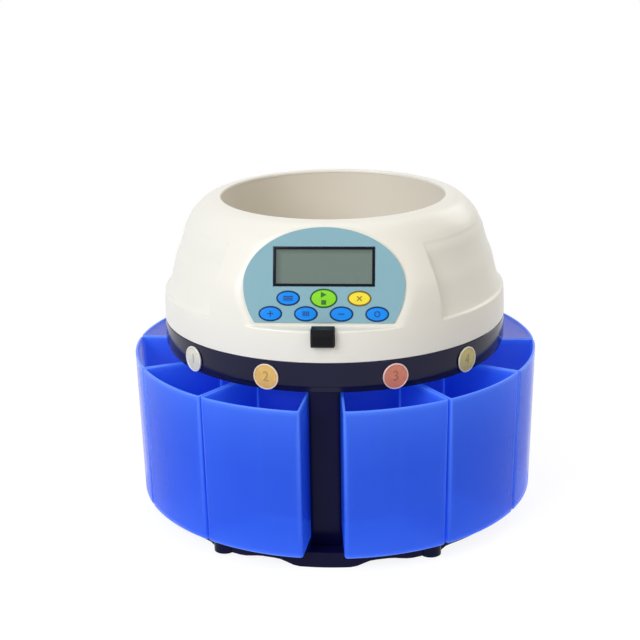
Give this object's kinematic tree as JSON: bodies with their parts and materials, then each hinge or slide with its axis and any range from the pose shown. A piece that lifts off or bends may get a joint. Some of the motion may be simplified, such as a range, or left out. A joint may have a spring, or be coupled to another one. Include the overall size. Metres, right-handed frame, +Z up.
{
  "type": "coin counter",
  "caption": "Desktop coin sorter with a domed hopper lid, a keypad, a sorting rotor and a ring of slide-out translucent coin boxes",
  "frame": {"origin": "centre of the bounding box, on the surface that the machine stands on", "axes": "+Z up, -Y the keypad side, +X the right side as the user faces the keypad"},
  "size_m": [0.3548, 0.3344, 0.2776],
  "materials": {
    "cream_plastic": "smooth moulded, warm white",
    "bowl_plastic": "smooth moulded, greyer than the lid",
    "black_plastic": "polished black moulding",
    "blue_plastic": "tinted clear plastic, translucent blue",
    "panel_teal": "matt printed overlay",
    "display_glass": "display window with a dark border",
    "display_cell": "grey-green display cell",
    "key_blue": "blue domed key",
    "key_green": "green domed key",
    "key_yellow": "yellow domed key",
    "latch_black": "black catch",
    "black_rubber": "matt rubber",
    "steel": "plain steel",
    "zinc": "zinc-plated screw",
    "bronze": "sintered bronze bush",
    "white_plastic": "white moulded plastic",
    "circuit_board": "green circuit board",
    "motor_case": "motor case",
    "label_silver": "silver coin label",
    "label_gold": "gold coin label",
    "label_copper": "copper coin label",
    "label_brass": "brass coin label",
    "socket_plastic": "black socket plastic"
  },
  "bodies": {
    "base": {"base_body": "black_plastic", "base_tray": "black_plastic", "base_screw_1": "zinc", "base_screw_2": "zinc", "base_screw_3": "zinc", "base_screw_4": "zinc", "rubber_foot_1": "black_rubber", "rubber_foot_2": "black_rubber", "rubber_foot_3": "black_rubber", "rubber_foot_4": "black_rubber", "exit_ring": "black_plastic", "coin_label_1": "label_silver", "coin_label_2": "label_gold", "coin_label_3": "label_copper", "coin_label_4": "label_brass", "sorting_plate": "steel", "sensor_board": "circuit_board", "chassis_plate": "steel", "lower_bearing": "bronze", "upper_bearing": "bronze", "drive_motor": "motor_case", "drive_belt": "black_rubber", "power_board": "circuit_board", "power_inlet": "socket_plastic", "data_socket": "steel", "switch_bezel": "socket_plastic", "hinge_pin": "steel"},
    "lid": {"top_cover": "cream_plastic", "hopper_bowl": "bowl_plastic", "panel_overlay": "panel_teal", "display_lens": "display_glass", "display_module": "display_cell", "control_board": "circuit_board"},
    "latch": {"latch_button": "latch_black"},
    "key_print_cap": {"key_print": "key_blue"},
    "key_start_stop_cap": {"key_start_stop": "key_green"},
    "key_clear_cap": {"key_clear": "key_yellow"},
    "key_plus_cap": {"key_plus": "key_blue"},
    "key_batch_cap": {"key_batch": "key_blue"},
    "key_minus_cap": {"key_minus": "key_blue"},
    "key_set_cap": {"key_set": "key_blue"},
    "rotor": {"main_shaft": "steel", "shaft_pulley": "white_plastic", "sorting_rotor": "white_plastic", "feed_disc": "white_plastic", "hopper_knob": "black_plastic"},
    "motor_wheel": {"motor_pulley": "white_plastic"},
    "rocker": {"power_rocker": "black_plastic"},
    "coin_box_1_drawer": {"coin_box_1": "blue_plastic"},
    "coin_box_2_drawer": {"coin_box_2": "blue_plastic"},
    "coin_box_3_drawer": {"coin_box_3": "blue_plastic"},
    "coin_box_4_drawer": {"coin_box_4": "blue_plastic"},
    "coin_box_5_drawer": {"coin_box_5": "blue_plastic"},
    "coin_box_6_drawer": {"coin_box_6": "blue_plastic"},
    "coin_box_7_drawer": {"coin_box_7": "blue_plastic"},
    "coin_box_8_drawer": {"coin_box_8": "blue_plastic"}
  },
  "joints": [
    {"name": "lid_hinge", "type": "hinge", "parent": "base", "child": "lid", "pos_m": [0, 0.16317, 0.1726], "axis": [-1, 0, 0], "range_deg": [0, 75]},
    {"name": "latch_press", "type": "slide", "parent": "lid", "child": "latch", "axis": [0, 1, 0], "range_m": [0, 0.0025], "stiffness_N_per_m": 400},
    {"name": "rotor_spin", "type": "hinge", "parent": "base", "child": "rotor", "pos_m": [0, 0.00917, 0.16], "axis": [0, 0, 1], "continuous": true},
    {"name": "motor_spin", "type": "hinge", "parent": "base", "child": "motor_wheel", "pos_m": [0, 0.07117, 0.13], "axis": [0, 0, 1], "continuous": true},
    {"name": "rocker_tilt", "type": "hinge", "parent": "base", "child": "rocker", "pos_m": [0, 0.14812, 0.056], "axis": [-1, 0, 0], "range_deg": [0, 18]},
    {"name": "key_print_press", "type": "slide", "parent": "lid", "child": "key_print_cap", "axis": [0, 0.9511, -0.309], "range_m": [0, 0.001], "stiffness_N_per_m": 400},
    {"name": "key_start_stop_press", "type": "slide", "parent": "lid", "child": "key_start_stop_cap", "axis": [0, 0.9511, -0.309], "range_m": [0, 0.001], "stiffness_N_per_m": 400},
    {"name": "key_clear_press", "type": "slide", "parent": "lid", "child": "key_clear_cap", "axis": [0, 0.9511, -0.309], "range_m": [0, 0.001], "stiffness_N_per_m": 400},
    {"name": "key_plus_press", "type": "slide", "parent": "lid", "child": "key_plus_cap", "axis": [0, 0.9511, -0.309], "range_m": [0, 0.001], "stiffness_N_per_m": 400},
    {"name": "key_batch_press", "type": "slide", "parent": "lid", "child": "key_batch_cap", "axis": [0, 0.9511, -0.309], "range_m": [0, 0.001], "stiffness_N_per_m": 400},
    {"name": "key_minus_press", "type": "slide", "parent": "lid", "child": "key_minus_cap", "axis": [0, 0.9511, -0.309], "range_m": [0, 0.001], "stiffness_N_per_m": 400},
    {"name": "key_set_press", "type": "slide", "parent": "lid", "child": "key_set_cap", "axis": [0, 0.9511, -0.309], "range_m": [0, 0.001], "stiffness_N_per_m": 400},
    {"name": "coin_box_1_slide", "type": "slide", "parent": "base", "child": "coin_box_1_drawer", "axis": [-0.9518, 0.3066, 0], "range_m": [0, 0.075]},
    {"name": "coin_box_2_slide", "type": "slide", "parent": "base", "child": "coin_box_2_drawer", "axis": [-0.9802, -0.1982, 0], "range_m": [0, 0.075]},
    {"name": "coin_box_3_slide", "type": "slide", "parent": "base", "child": "coin_box_3_drawer", "axis": [-0.7579, -0.6523, 0], "range_m": [0, 0.075]},
    {"name": "coin_box_4_slide", "type": "slide", "parent": "base", "child": "coin_box_4_drawer", "axis": [-0.3419, -0.9397, 0], "range_m": [0, 0.075]},
    {"name": "coin_box_5_slide", "type": "slide", "parent": "base", "child": "coin_box_5_drawer", "axis": [0.3419, -0.9397, 0], "range_m": [0, 0.075]},
    {"name": "coin_box_6_slide", "type": "slide", "parent": "base", "child": "coin_box_6_drawer", "axis": [0.7579, -0.6523, 0], "range_m": [0, 0.075]},
    {"name": "coin_box_7_slide", "type": "slide", "parent": "base", "child": "coin_box_7_drawer", "axis": [0.9802, -0.1982, 0], "range_m": [0, 0.075]},
    {"name": "coin_box_8_slide", "type": "slide", "parent": "base", "child": "coin_box_8_drawer", "axis": [0.9518, 0.3066, 0], "range_m": [0, 0.075]}
  ],
  "couplings": [
    {"joint": "motor_spin", "follows": "rotor_spin", "ratio": 2.5}
  ]
}
